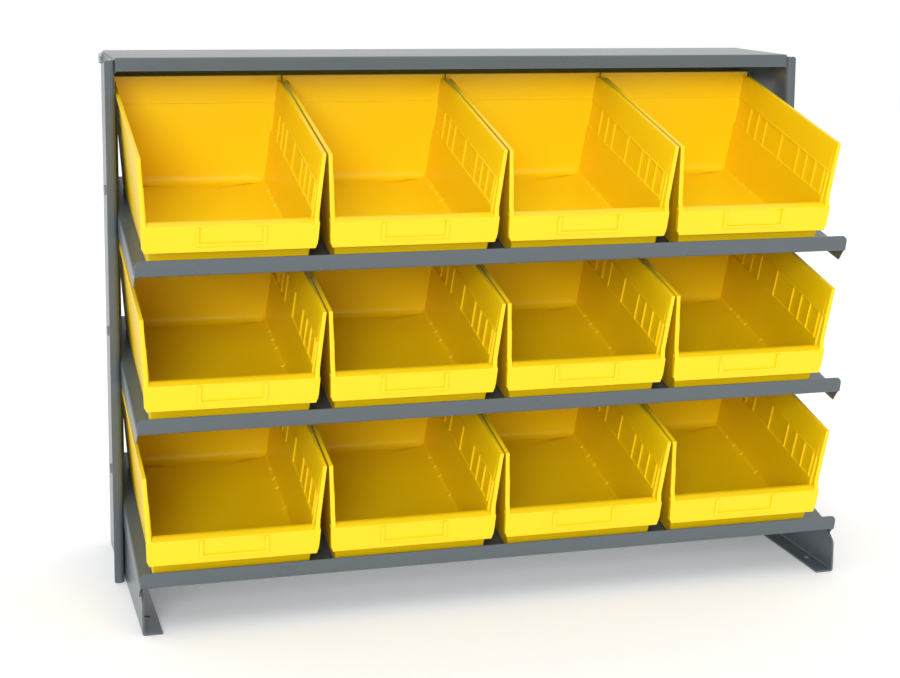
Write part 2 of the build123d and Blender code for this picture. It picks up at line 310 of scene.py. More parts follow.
def upright_skin(side):
    """The fold's path in plan carried up the height. Its top and bottom draw in near the
    flange's edge to round the corners."""
    inner_back = UPRIGHT_BACK - UPRIGHT_THICKNESS
    path = folded_path([(RETURN_EDGE, inner_back), (WEB_INNER, inner_back),
                        (WEB_INNER, UPRIGHT_FRONT), (FLANGE_EDGE, UPRIGHT_FRONT)],
                       [RETURN_BEND, UPRIGHT_BEND])
    tip = FLANGE_EDGE - corner_steps(FLANGE_CORNER)[::-1]
    path = np.concatenate([path[:-1], vectors(tip, UPRIGHT_FRONT)])
    inset = corner_inset(FLANGE_EDGE - path[:, 0], FLANGE_CORNER)
    inset[path[:, 1] > UPRIGHT_FRONT + TOUCH] = 0
    level = np.linspace(0, 1, 9)[:, None]
    z = inset + level * (UPRIGHT_HEIGHT - 2 * inset)
    return vectors(side * path[:, 0], path[:, 1], z)


for side, upright_name in ((-1, "left_upright"), (1, "right_upright")):
    upright = sheet_metal("painted_" + upright_name, [upright_skin(side)], UPRIGHT_THICKNESS,
                          (-side, 0, 0), satin_grey)
    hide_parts(upright_name)
    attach(upright, "rack")

# Top shelf: 1.2 mm sheet steel, folded down at the front, at both sides and at the back like a
# shallow tray upside down. The same grey coat. It closes the top and ties the uprights.
SHELF_THICKNESS = 0.0012
SHELF_HALF = 0.4445
SHELF_BEND = 0.0026
LEAST_DROP = SHELF_BEND * 1.05
TOP_LEVEL = 0.659
TOP_FRONT, TOP_BACK = 0.0221, 0.1917
TOP_LIP, TOP_SIDE, TOP_REAR, TOP_LIP_GAP = 0.0165, 0.019, 0.050, 0.0006


def strip(rows, half):
    """Rows of (y, z) points carried across the rack, each as wide as its own half width."""
    x = np.linspace(-1, 1, 9) * np.broadcast_to(half, len(rows))[:, None]
    return vectors(x, rows[:, :1], rows[:, 1:])


def side_fold(side, along, level, drop):
    """The edge of a deck folded down: a quarter circle and then a straight fall to the drop.
    The first parameter runs along the deck and the second round the fold and down."""
    turn = np.linspace(0, math.pi / 2, BEND_STEPS)
    shares = np.array([0.2, 0.6, 1.0])
    bend_x = SHELF_HALF - SHELF_BEND + SHELF_BEND * np.sin(turn)
    x = np.concatenate([bend_x, np.full(shares.size, SHELF_HALF)])
    bend_fall = np.broadcast_to(SHELF_BEND * (1 - np.cos(turn)), (along.size, BEND_STEPS))
    depth = np.maximum(drop, LEAST_DROP)[:, None]
    falls = np.concatenate([bend_fall, SHELF_BEND + shares * (depth - SHELF_BEND)], 1)
    return vectors(side * x, along[:, None], level - falls)


top_path = folded_path([(TOP_FRONT, TOP_LEVEL - TOP_LIP), (TOP_FRONT, TOP_LEVEL),
                        (TOP_BACK, TOP_LEVEL), (TOP_BACK, TOP_LEVEL - TOP_REAR)],
                       [SHELF_BEND, SHELF_BEND])
top_deck = np.linspace(TOP_FRONT + SHELF_BEND, TOP_BACK - SHELF_BEND, 12)
top_path = np.concatenate([top_path[:FIRST_BEND], vectors(top_deck[1:-1], TOP_LEVEL),
                           top_path[FIRST_BEND:]])
top_half = SHELF_HALF - np.where(top_path[:, 0] < TOP_FRONT + SHELF_BEND / 2, TOP_LIP_GAP,
                                 SHELF_BEND)
top_patches = [strip(top_path, top_half)]
for side in (-1, 1):
    top_patches.append(side_fold(side, top_deck, TOP_LEVEL, np.full(top_deck.size, TOP_SIDE)))
top_shelf = sheet_metal("painted_top_shelf", top_patches, SHELF_THICKNESS, (0, 0, 1), satin_grey)
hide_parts("top_shelf")
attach(top_shelf, "rack")

# Lower, middle and upper shelf: 1.2 mm sheet steel. The lip is folded up at the front to hold
# the bins, the side and rear edges are folded down. They slope to the front between the uprights.
SLOPE = math.radians(13)
LIP_PLACE = -0.1655
LIP_LEVELS = {"lower": 0.0545, "middle": 0.238, "upper": 0.4215}
DECK_DEPTH = 0.336
LIP_HEIGHT, LIP_CORNER = 0.0205, 0.007
FLANGE_START, FLANGE_NOSE, FLANGE_DROPS = 0.0036, 0.0125, (0.018, 0.030)
NOSE_ROWS = (FLANGE_START, 0.005, 0.007, 0.0095, FLANGE_NOSE)
NOSE_END = 0.02
REAR_DROP, REAR_RELIEF = 0.016, 0.006


def on_shelf(points, shelf):
    """Shelf coordinates (across, back along the deck, up from it) turned by the slope and
    moved to where that shelf's lip is."""
    across, back, up = np.moveaxis(points, -1, 0)
    y = LIP_PLACE + back * math.cos(SLOPE) - up * math.sin(SLOPE)
    z = LIP_LEVELS[shelf] + back * math.sin(SLOPE) + up * math.cos(SLOPE)
    return vectors(across, y, z)


lip_top = LIP_HEIGHT - corner_steps(LIP_CORNER, 8)
fold_rows = folded_path([(SHELF_THICKNESS, LIP_HEIGHT - LIP_CORNER),
                         (SHELF_THICKNESS, SHELF_THICKNESS),
                         (DECK_DEPTH + SHELF_THICKNESS, SHELF_THICKNESS),
                         (DECK_DEPTH + SHELF_THICKNESS, SHELF_THICKNESS - REAR_DROP)],
                        [SHELF_BEND - SHELF_THICKNESS, SHELF_BEND])
deck_back = DECK_DEPTH + SHELF_THICKNESS - SHELF_BEND
deck_rows = np.concatenate([NOSE_ROWS, np.linspace(NOSE_END, deck_back, 14)])
shelf_rows = np.concatenate([vectors(SHELF_THICKNESS, lip_top[:-1]), fold_rows[:FIRST_BEND],
                             vectors(deck_rows[:-1], SHELF_THICKNESS), fold_rows[FIRST_BEND:]])
lip_inset = corner_inset(LIP_HEIGHT - shelf_rows[:, 1], LIP_CORNER)
half_widths = SHELF_HALF - np.where(shelf_rows[:, 0] < SHELF_BEND + TOUCH, lip_inset, SHELF_BEND)

# Past its first row, the rear fold is cut back at both ends.
half_widths[-FIRST_BEND + 1:] = SHELF_HALF - REAR_RELIEF
flange_drop = np.interp(deck_rows, [SHELF_BEND, FLANGE_NOSE, deck_back], (0, *FLANGE_DROPS))

for shelf in LIP_LEVELS:
    patches = [on_shelf(strip(shelf_rows, half_widths), shelf)]
    for side in (-1, 1):
        fold = side_fold(side, deck_rows, SHELF_THICKNESS, flange_drop)
        patches.append(on_shelf(fold, shelf))
    deck = sheet_metal(f"painted_{shelf}_shelf", patches, SHELF_THICKNESS, (0, 0, 1), satin_grey)
    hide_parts(shelf + "_shelf")
    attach(deck, "rack")

# Left and right foot: steel angle, 2.5 mm thick. The tall leg is cut to the slope of the lowest
# shelf and bolted to it, and the short leg lies on the bench with two holes for anchor bolts.
FOOT_THICKNESS = 0.0025
FOOT_OUTER, FOOT_INNER = 0.4432, 0.4195
FOOT_BEND, FOOT_CORNER = 0.004, 0.004
FOOT_HALF = 0.170
FOOT_NOSE, FOOT_NOSE_RUN, FOOT_UNDER_DECK = 0.040, 0.025, 0.0026
ANCHOR_X, ANCHOR_Y, ANCHOR_RADIUS = 0.433, 0.1145, 0.0045
RING_HALF = 0.010
SOLE_STEPS = 9


def foot_edge(y):
    """Height of the tall leg: just under the deck's slope, less a straight slanted nose and a
    rounded corner at the front."""
    under = LIP_LEVELS["lower"] - FOOT_UNDER_DECK + (y - LIP_PLACE) * math.tan(SLOPE)
    nose_end = FOOT_NOSE_RUN - FOOT_HALF
    top = LIP_LEVELS["lower"] - FOOT_UNDER_DECK + (nose_end - LIP_PLACE) * math.tan(SLOPE)
    nose = FOOT_NOSE + (y + FOOT_HALF) / FOOT_NOSE_RUN * (top - FOOT_NOSE)
    return np.where(y < nose_end, nose, under) - corner_inset(y + FOOT_HALF, FOOT_CORNER)


def foot_leg(side, rows):
    """The bend, a quarter circle, and the tall leg straight up to its slanted edge."""
    turn = np.linspace(0, math.pi / 2, BEND_STEPS)
    share = np.array([0.1, 0.4, 0.8, 1.0])
    bend_x = FOOT_OUTER - FOOT_BEND + FOOT_BEND * np.sin(turn)
    x = np.concatenate([bend_x, np.full(share.size, FOOT_OUTER)])
    bend_z = np.broadcast_to(FOOT_BEND * (1 - np.cos(turn)), (rows.size, BEND_STEPS))
    tall = FOOT_BEND + share * (foot_edge(rows)[:, None] - FOOT_BEND)
    return vectors(side * x, rows[:, None], np.concatenate([bend_z, tall], 1))


def foot_sole(side, rows):
    """A stretch of the short leg without a hole: straight lines across."""
    x = np.linspace(FOOT_INNER, FOOT_OUTER - FOOT_BEND, SOLE_STEPS)
    return vectors(side * x, rows[:, None], 0)


def anchor_ring(side, y_middle, half):
    """The square of metal round an anchor hole: points slide from the circle out to the
    square's edge along straight lines, ring by ring."""
    x_low, x_high = FOOT_INNER, FOOT_OUTER - FOOT_BEND
    x_edge, y_edge = np.linspace(x_low, x_high, SOLE_STEPS), np.linspace(-half, half, SOLE_STEPS)
    ones = np.ones(SOLE_STEPS - 1)
    edge_x = np.concatenate([x_edge, ones * x_high, x_edge[::-1][1:], ones * x_low])
    edge_y = np.concatenate([y_edge[:1], -half * ones, y_edge[1:], half * ones,
                             y_edge[::-1][1:]])
    angle = np.arctan2(edge_y, edge_x - ANCHOR_X)
    share = np.linspace(0, 1, 4)[:, None] ** 1.5
    x = (1 - share) * (ANCHOR_X + ANCHOR_RADIUS * np.cos(angle)) + share * edge_x
    y = (1 - share) * ANCHOR_RADIUS * np.sin(angle) + share * edge_y + y_middle
    return vectors(side * x, y, 0)


foot_front = np.concatenate([corner_steps(FOOT_CORNER) - FOOT_HALF,
                             np.linspace(FOOT_NOSE_RUN - FOOT_HALF, -ANCHOR_Y - RING_HALF, 4)])
foot_rows = [foot_front, np.linspace(-ANCHOR_Y - RING_HALF, -ANCHOR_Y + RING_HALF, SOLE_STEPS),
             np.linspace(-ANCHOR_Y + RING_HALF, ANCHOR_Y - RING_HALF, 10),
             np.linspace(ANCHOR_Y - RING_HALF, ANCHOR_Y + RING_HALF, SOLE_STEPS),
             np.linspace(ANCHOR_Y + RING_HALF, FOOT_HALF, 4)]

for side, foot_name in ((-1, "left_foot"), (1, "right_foot")):
    patches = [foot_leg(side, np.unique(np.concatenate(foot_rows)))]
    patches += [foot_sole(side, rows) for rows in foot_rows[::2]]
    patches += [anchor_ring(side, y, RING_HALF) for y in (-ANCHOR_Y, ANCHOR_Y)]
    foot = sheet_metal("painted_" + foot_name, patches, FOOT_THICKNESS, (side, 0, 0), satin_grey)
    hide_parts(foot_name)
    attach(foot, "rack")

# Twelve shelf bins: polypropylene, injection-moulded in one shot with drafted walls. The side rims
# are folded outward, the front wall is folded over into an apron with a label frame, and rib
# pockets inside take cross dividers. Each only stands on its deck behind the lip.

# The size of a bin, the tub's drafts and its walls.
BIN_HALF, BIN_LENGTH, BIN_HEIGHT, BIN_BACK_HEIGHT = 0.107, 0.298, 0.141, 0.144
BASE_HALF, TUB_TOP_HALF = 0.09175, 0.1048
BASE_SETBACK, FRONT_DRAFT, BACK_DRAFT = 0.007, 0.0025, 0.003
WALL_LOW, WALL_TOP, POCKET_WALL, BEAD_WALL, FLOOR_THICK = 0.0034, 0.0024, 0.0015, 0.0031, 0.003

# Rounded corners and coves.
FRONT_CORNER, REAR_CORNER, LEAST_RADIUS = 0.002, 0.003, 0.0006
BOTTOM_RADIUS, RIM_ROUND = 0.003, 0.0005
SIDE_COVE, BACK_COVE, RIB_FOOT = 0.004, 0.009, 0.0018

# The band of ribs, which rises a little to the back, the ribs' places along the sides, and the
# stations and levels of the mesh between them.
BAND_LOW, BAND_HIGH, BEAD_HEIGHT = 0.0685, 0.103, 0.0010
BAND_LOW_RISE, BAND_HIGH_RISE, RISE_RUN = 0.003, 0.005, 0.29
RIBS = np.array([18.5, 44.5, 70.5, 96.0, 147.5, 199.0, 224.5, 250.5]) / 1000
RIB_WIDTH, STEEP, RIM_STEP = 0.0030, 0.0003, 0.0001
PLAIN_STATIONS = (0.0, 0.0125, 0.031, 0.057, 0.083, 0.121, 0.173, 0.212, 0.238, 0.268, 0.284,
                  0.288, 0.3)
OUTSIDE_LEVELS = (0.012, 0.024, 0.038, 0.060, 0.085, 0.110, 0.126)
INSIDE_LEVELS, BELOW_BAND_LEVELS = (0.132, 0.122), (0.058, 0.047, 0.036, 0.024)

# The side rims, the dip behind them and the ears of the back wall.
SIDE_RIM_HEIGHT, SIDE_RIM_ROOT, SIDE_RIM_ROUND = 0.0032, 0.0014, 0.0006
SIDE_RIM_START, SIDE_RIM_END = 0.0008, 0.284
RIM_DIP, RIM_DIP_RUN, CORNER_DIP = 0.0045, 0.006, 0.45
EAR_ROOT, EAR_LOW, EAR_ROUND = 0.103, 0.134, 0.0004

# The low front, its posts, and the cheeks between them and the tub.
FRONT_LOW, FRONT_HIGH, FRONT_THICK, FRONT_GAP = 0.027, 0.061, 0.0032, 0.001
FRONT_PIVOT, WALL_PIVOT = 0.040, 0.112
POST_WIDTH, WIDE_POST, POST_LEAN, POST_TIP, POST_ROUND = 0.0048, 0.0055, 0.070, 0.0004, 0.0007
POST_FOOT, POST_STRAIGHT, POST_FOOT_RUN, POST_REACH = 0.0588, 0.070, 0.011, 0.9
CHEEK_LOW, CHEEK_FRONT, CHEEK_LENGTH, CHEEK_ROUND = 0.0272, 0.001, 0.0108, 0.0002

# The apron, its fold, and the label frame on it.
APRON_PROUD, APRON_THICK, APRON_SLANT = 0.0045, 0.0032, 0.0022
APRON_TOP_HALF, APRON_LEAN, APRON_CORNER = 0.1021, 0.05, 0.0045
APRON_SIDE_GAP, APRON_SIDE_ROUND = 0.0030, 0.0003
APRON_FRONT_BENDS = (0.0008, 0.0013, 0.004, 0.0009)
APRON_BACK_BENDS = (0.0008, 0.0006, 0.002, 0.0006)
FOLD_HALF, FOLD_START, FOLD_END, FOLD_UNDER, FOLD_DROP = 0.0962, 0.0033, 0.0082, 0.0068, 0.0014
LABEL_HALF, LABEL_LOW, LABEL_HIGH, LABEL_PROUD = 0.041, 0.0345, 0.0575, 0.0018
LABEL_ARM, LABEL_BOTTOM, LABEL_EDGE = 0.0048, 0.0034, 0.0001
LABEL_SINK, LABEL_ROOT, LABEL_ROUND = (0.0004, 0.0014), 0.0006, 0.0003
LABEL_OUTER_BEND, LABEL_INNER_BEND, LABEL_BEND_STEPS = 0.0015, 0.0006, 5

# Where the bins stand, and the line along the middle of a floor that its mesh runs to. Where two
# forms of the moulding overlap, their faces are a HAIR apart, so that none coincide.
BIN_PITCH, FIRST_BIN, SEAT_BACK, SEAT_UP = 0.2163, -0.3359, 0.0065, 0.0015
BIN_SMOOTH_DEG = 32
SPINE_FRONT, SPINE_BACK = 0.022, 0.262
HAIR = 0.00002

# Polypropylene from a finely grained mould has an even satin skin. It is coloured right through,
# so the yellow glows where bins face each other.
YELLOW_CODES = ("f9d002", "f9d304")
FLOW_MM, GRAIN_MM, GRAIN_HEIGHT_MM, GRAIN_STRENGTH = 60, 1.2, 0.01, 0.35
YELLOW_ROUGHNESS, YELLOW_IOR = 0.4, 1.49
yellow_plastic, yellow_tree, yellow_shader = new_material("moulded_yellow_polypropylene")
flow = noise(yellow_tree, FLOW_MM, 2.0)
grain = noise(yellow_tree, GRAIN_MM, 2.0)
feed(yellow_tree, yellow_shader, {"Base Color": blend(yellow_tree, flow, YELLOW_CODES),
                                  "Roughness": YELLOW_ROUGHNESS, "IOR": YELLOW_IOR,
                                  "Normal": relief(yellow_tree, grain, GRAIN_STRENGTH,
                                                   GRAIN_HEIGHT_MM)})


def wall_ring():
    """Stations round the tub: which stretch each is on, and its place along it. Stretches run
    front-left corner, left side, rear-left corner, back, and so on round. Places on the sides are
    distances from the front, the others are shares."""
    edges = [e * RIB_WIDTH / 2 + f * STEEP for e in (-1, 1) for f in (-0.5, 0.5)]
    marks = np.concatenate([RIBS + e for e in edges])
    side = np.sort(np.concatenate([marks, PLAIN_STATIONS]))
    side = np.insert(side, 1, RIM_STEP)
    arc = np.linspace(0, 1, 7)[1:-1]
    stretches = [arc, side, arc, np.linspace(0, 1, 13), arc, side[::-1], arc, np.linspace(0, 1, 9)]
    kinds = np.concatenate([np.full(part.size, i) for i, part in enumerate(stretches)])
    return kinds, np.concatenate(stretches)


RING_KIND, RING_PLACE = wall_ring()
ON_SIDE = (RING_KIND == 1) | (RING_KIND == 5)
LOW_FRONT = np.isin(RING_KIND, (0, 6, 7)) | (ON_SIDE & (RING_PLACE == 0))
NEAR_RIB = ON_SIDE & (np.abs(RING_PLACE[:, None] - RIBS).min(1) < RIB_WIDTH / 2)


def tub_half(z):
    """Half the width over the side walls at a height: a straight draft."""
    return BASE_HALF + z * (TUB_TOP_HALF - BASE_HALF) / BIN_HEIGHT


def ring_points(inset_x, inset_y, z):
    """Points of the tub's outline at a height, moved in by one inset across and one along: a
    drafted rectangle with rounded corners."""
    half = tub_half(z) - inset_x
    back = BIN_LENGTH - BACK_DRAFT * (1 - z / BIN_HEIGHT) - inset_y
    front = BASE_SETBACK - FRONT_DRAFT * np.minimum(z / FRONT_HIGH, 1) + inset_y
    rear_radius = np.maximum(REAR_CORNER - inset_y, LEAST_RADIUS)
    front_radius = np.maximum(FRONT_CORNER - inset_y, LEAST_RADIUS)
    share = RING_PLACE
    turn = share * math.pi / 2
    first, last = front + front_radius, back - rear_radius
    along = np.clip(share, first + np.where(share > 0, RIM_STEP, 0), last)
    places = [
        (-half + front_radius * (1 - np.sin(turn)), front + front_radius * (1 - np.cos(turn))),
        (-half, along),
        (-half + rear_radius * (1 - np.cos(turn)), back - rear_radius * (1 - np.sin(turn))),
        (-half + rear_radius + share * 2 * (half - rear_radius), back),
        (half - rear_radius * (1 - np.sin(turn)), back - rear_radius * (1 - np.cos(turn))),
        (half, along),
        (half - front_radius * (1 - np.cos(turn)), front + front_radius * (1 - np.sin(turn))),
        (half - front_radius - share * 2 * (half - front_radius), front)]
    kinds = [RING_KIND == i for i in range(8)]
    x = np.select(kinds, [np.broadcast_to(p[0], share.shape) for p in places])
    y = np.select(kinds, [np.broadcast_to(p[1], share.shape) for p in places])
    return x, y


def rim_height():
    """Height of the rim at each station: level at the sides with a slanted dip at their rear end,
    higher on the back wall, and low behind the apron."""
    dip = RIM_DIP * np.clip((RING_PLACE - SIDE_RIM_END) / RIM_DIP_RUN, 0, 1)
    rear_side = np.where(RING_KIND == 2, RING_PLACE < CORNER_DIP, RING_PLACE > 1 - CORNER_DIP)
    corner = np.where(rear_side, BIN_HEIGHT - RIM_DIP, BIN_BACK_HEIGHT)
    rim = np.where(ON_SIDE, BIN_HEIGHT - dip, np.where(RING_KIND == 3, BIN_BACK_HEIGHT, corner))
    return np.where(LOW_FRONT, FRONT_HIGH - FRONT_GAP, rim)


def tub_rows():
    """The tub's skin as rings: from the middle of the underside out and up the outside, over
    the rim, down the inside past the step and the rib band, and in across the floor."""
    rim = rim_height()
    low_wall = np.full(rim.shape, WALL_LOW)
    top_wall = np.where(LOW_FRONT, WALL_LOW, WALL_TOP)
    pivot = np.where(LOW_FRONT, FRONT_PIVOT, WALL_PIVOT)
    top = BIN_HEIGHT - RIM_ROUND
    rear_part = np.isin(RING_KIND, (2, 3, 4))
    rear = np.where(ON_SIDE, np.minimum(RING_PLACE / RISE_RUN, 1), rear_part)
    step, band_low = BAND_HIGH + rear * BAND_HIGH_RISE, BAND_LOW + rear * BAND_LOW_RISE
    toward_back = np.select([RING_KIND == 2, RING_KIND == 3, RING_KIND == 4],
                            [RING_PLACE, 1.0, 1 - RING_PLACE])
    cove = SIDE_COVE + (BACK_COVE - SIDE_COVE) * toward_back + RIB_FOOT * NEAR_RIB
    on_wall = ~LOW_FRONT & (RING_KIND != 3)
    bead = np.where(on_wall, BEAD_WALL, WALL_LOW)
    pocket = np.where(on_wall & ~NEAR_RIB, POCKET_WALL, WALL_LOW)
    rows = []

    def ring(inset_x, inset_y, z):
        """Heights above the pivot are stretched so that the topmost meets the local rim."""
        z = np.broadcast_to(z, rim.shape)
        z = np.where(z > pivot, pivot + (z - pivot) * (rim - RIM_ROUND - pivot) / (top - pivot), z)
        add_row(inset_x, inset_y, z)

    def add_row(inset_x, inset_y, z):
        rows.append(vectors(*ring_points(inset_x, inset_y, z), z))

    def flat(ring_at, level):
        """The flat inside a ring: lines run straight across to a line along the middle."""
        spread = np.array([0.0, 0.4, 0.8, 0.985])[:, None, None]
        spine = vectors(0, np.clip(ring_at[:, 1], SPINE_FRONT, SPINE_BACK), level)
        return spine + spread * (ring_at - spine)

    for a in np.linspace(0, math.pi / 2, 6):
        inset = BOTTOM_RADIUS * (1 - math.sin(a))
        add_row(inset, inset, BOTTOM_RADIUS * (1 - math.cos(a)))
    for z in (*OUTSIDE_LEVELS, top):
        ring(0, 0, z)
    for a in np.linspace(0, math.pi / 2, 4)[1:]:
        inset = RIM_ROUND * (1 - math.cos(a))
        add_row(inset, inset, rim - RIM_ROUND * (1 - math.sin(a)))
    for a in np.linspace(math.pi / 2, 0, 4)[:-1]:
        inset = top_wall - RIM_ROUND * (1 - math.cos(a))
        add_row(inset, inset, rim - RIM_ROUND * (1 - math.sin(a)))
    for z in (top, *INSIDE_LEVELS, step + STEEP):
        ring(top_wall, top_wall, z)
    for z in (step, step - BEAD_HEIGHT):
        ring(bead, low_wall, z)
    for share in (1.0, 0.75, 0.5, 0.25, 0.0):
        low, high = band_low + STEEP, step - BEAD_HEIGHT - STEEP
        ring(pocket, low_wall, low + share * (high - low))
    for z in (band_low, *BELOW_BAND_LEVELS):
        ring(low_wall, low_wall, z)
    for a in np.linspace(math.pi / 2, 0, 8):
        inset = WALL_LOW + cove * (1 - math.sin(a))
        add_row(inset, inset, FLOOR_THICK + cove * (1 - math.cos(a)))
    skin = np.concatenate([flat(rows[0], 0.0), np.array(rows), flat(rows[-1], FLOOR_THICK)[::-1]])
    return np.concatenate([skin, skin[:, :1]], 1)


def rounded_bar(corner, across, rise, radius):
    """A closed bar through stations, one for each row of the arrays. Its section is a rectangle
    from a corner along two edge vectors, with rounded corners, and its ends are flat."""
    turn = np.linspace(0, math.pi / 2, 4)
    slow, fast = radius * (1 - np.cos(turn)), radius * (1 - np.sin(turn))
    width, height = (np.linalg.norm(v, axis=1)[:, None] for v in (across, rise))
    far_s, far_t = np.repeat([0, 1, 1, 0], 4), np.repeat([0, 0, 1, 1], 4)
    s = far_s * width + np.concatenate([slow, -fast, -slow, fast])
    t = far_t * height + np.concatenate([fast, slow, -fast, -slow])
    skin = corner[:, None] + s[..., None] * (across / width)[:, None]
    skin = skin + t[..., None] * (rise / height)[:, None]
    skin = np.concatenate([skin, skin[:, :1]], 1)
    ends = [np.broadcast_to(skin[i].mean(0), skin[i].shape) for i in (0, -1)]
    return np.concatenate([ends[0][None], skin, ends[1][None]])


def front_post(side):
    """A front post: its outer edge leans out with height, its inner edge steps out above the
    band, and its foot leans forward to meet the apron."""
    z = np.array([POST_FOOT, 0.062, 0.066, POST_STRAIGHT, 0.086, BAND_HIGH - STEEP, BAND_HIGH,
                  0.122, BIN_HEIGHT - RIM_ROUND, BIN_HEIGHT])
    outer = BIN_HALF - (BIN_HEIGHT - z) * POST_LEAN
    width = np.where(z < BAND_HIGH, WIDE_POST, POST_WIDTH)
    outer[-1] -= POST_TIP
    width[-1] -= 2 * POST_TIP
    foot_share = np.clip((POST_STRAIGHT - z) / POST_FOOT_RUN, 0, 1)
    y = -POST_REACH * APRON_PROUD * foot_share
    return rounded_bar(vectors(side * outer, y, z), vectors(-side * width, 0, 0),
                       vectors(0, FRONT_THICK - y, 0), POST_ROUND)


def front_cheek(side):
    """The side wall carried forward from the tub to its post, as thick as the rib pockets, the
    bead and the wall above them."""
    bead_low = BAND_HIGH - BEAD_HEIGHT
    z = np.array([CHEEK_LOW, 0.060, 0.100, bead_low - STEEP, bead_low, BAND_HIGH,
                  BAND_HIGH + STEEP, 0.122, BIN_HEIGHT - RIM_ROUND])
    wall = np.array([POCKET_WALL] * 4 + [BEAD_WALL] * 2 + [WALL_TOP] * 3)
    return rounded_bar(vectors(side * (tub_half(z) - HAIR), CHEEK_FRONT, z),
                       vectors(-side * (wall - 2 * HAIR), 0, 0),
                       vectors(0 * z, CHEEK_LENGTH, 0), CHEEK_ROUND)


def side_rim(side):
    """The rim folded outward along a side wall, level and of even width."""
    y = np.array([SIDE_RIM_START, 0.07, 0.14, 0.21, SIDE_RIM_END])
    inner = TUB_TOP_HALF - SIDE_RIM_ROOT
    return rounded_bar(vectors(side * inner, y, BIN_HEIGHT - SIDE_RIM_HEIGHT),
                       vectors(side * (BIN_HALF - inner), 0 * y, 0),
                       vectors(0 * y, 0, SIDE_RIM_HEIGHT - HAIR), SIDE_RIM_ROUND)


def back_ear(side):
    """The end of the back wall, which reaches out past the side wall to the full width."""
    x = np.array([EAR_ROOT, BIN_HALF])
    return rounded_bar(vectors(side * x, BIN_LENGTH - WALL_TOP + HAIR, EAR_LOW),
                       vectors(0 * x, WALL_TOP - 2 * HAIR, 0),
                       vectors(0 * x, 0, BIN_BACK_HEIGHT - EAR_LOW - HAIR), EAR_ROUND)


def apron_half(y, z):
    """Half the apron's width: it leans out with height, has rounded lower corners, and narrows
    to the opening where the fold runs back between the posts."""
    lean = (FRONT_HIGH - z) * APRON_LEAN
    half = APRON_TOP_HALF - lean - corner_inset(z - FRONT_LOW, APRON_CORNER)
    return np.where(y > FOLD_START, FOLD_HALF, half)


def apron_skins():
    """The folded-over front wall as a shell: a front and a back path in section, both drawn
    with bends and carried across, and joined at both ends. Inside the label frame the front
    sinks, and deepens evenly with height."""
    y, low, high = -APRON_PROUD, FRONT_LOW, FRONT_HIGH
    inner, edge = y + APRON_THICK, y + APRON_THICK / 2
    under = high - WALL_TOP
    fold_tip = (FOLD_END, high - FOLD_DROP)
    front = folded_path([(edge, low), (y, low), (y, high - APRON_SLANT), (FRONT_THICK, high),
                         (FOLD_END, high), fold_tip], APRON_FRONT_BENDS)
    back = folded_path([(edge, low), (inner, low), (inner, under - APRON_SLANT / 2),
                        (FRONT_THICK, under), (FOLD_UNDER, under), fold_tip], APRON_BACK_BENDS)
    bottom, top, e = LABEL_LOW + LABEL_BOTTOM, LABEL_HIGH, LABEL_EDGE
    label_rows = np.array([bottom - e, bottom + e, (bottom + top) / 2, top - e, top + e])
    back_rows = np.linspace(back[FIRST_BEND - 1], back[FIRST_BEND], label_rows.size + 2)[1:-1]
    front = np.insert(front, FIRST_BEND, vectors(y, label_rows), 0)
    back = np.insert(back, FIRST_BEND, back_rows, 0)
    pocket = LABEL_HALF - LABEL_ARM
    shares, places = np.linspace(1, 0.45, 4), np.array([pocket + e, pocket - e, pocket / 2])
    skins = []
    for path, sinks in ((front, LABEL_SINK), (back, (0, 0))):
        half = apron_half(path[:, 0], path[:, 1])[:, None]
        right = np.concatenate([half * shares, np.broadcast_to(places, (len(path), 3))], 1)
        x = np.concatenate([-right, 0 * half, right[:, ::-1]], 1)
        z = path[:, 1:]
        sunk = (np.abs(x) < pocket) & (z > bottom) & (z < top)
        depth = np.interp(z, (bottom, top), sinks)
        skins.append(vectors(x, path[:, :1] + depth * sunk, z))
    ends = [np.stack([skins[0][:, i], skins[1][:, i]]) for i in (0, -1)]
    return skins + ends


def apron_cheek(side):
    """The apron's side wall, from its rounded lower corner up to the fold."""
    z = np.array([FRONT_LOW + APRON_CORNER, 0.045, FRONT_HIGH - APRON_SIDE_GAP])
    half = APRON_TOP_HALF - (FRONT_HIGH - z) * APRON_LEAN - HAIR
    depth = APRON_PROUD + FRONT_THICK - CHEEK_FRONT
    return rounded_bar(vectors(side * half, CHEEK_FRONT - APRON_PROUD, z),
                       vectors(-side * WALL_TOP, 0 * z, 0), vectors(0 * z, depth, 0),
                       APRON_SIDE_ROUND)


def label_frame():
    """The label frame: a narrow U-shaped bar that stands proud of the apron."""
    low, high, half = LABEL_LOW, LABEL_HIGH, LABEL_HALF
    outer = folded_path([(-half, high), (-half, low), (half, low), (half, high)],
                        [LABEL_OUTER_BEND] * 2, LABEL_BEND_STEPS)
    inner_half, inner_low = half - LABEL_ARM, low + LABEL_BOTTOM
    inner = folded_path([(-inner_half, high), (-inner_half, inner_low), (inner_half, inner_low),
                         (inner_half, high)], [LABEL_INNER_BEND] * 2, LABEL_BEND_STEPS)
    across = inner - outer
    return rounded_bar(vectors(outer[:, 0], -APRON_PROUD - LABEL_PROUD, outer[:, 1]),
                       vectors(across[:, 0], 0, across[:, 1]),
                       vectors(0 * outer[:, 0], LABEL_PROUD + LABEL_ROOT, 0), LABEL_ROUND)


bin_patches = [tub_rows(), label_frame(), *apron_skins()]
for side in (-1, 1):
    bin_patches += [front_post(side), front_cheek(side), side_rim(side), back_ear(side),
                    apron_cheek(side)]

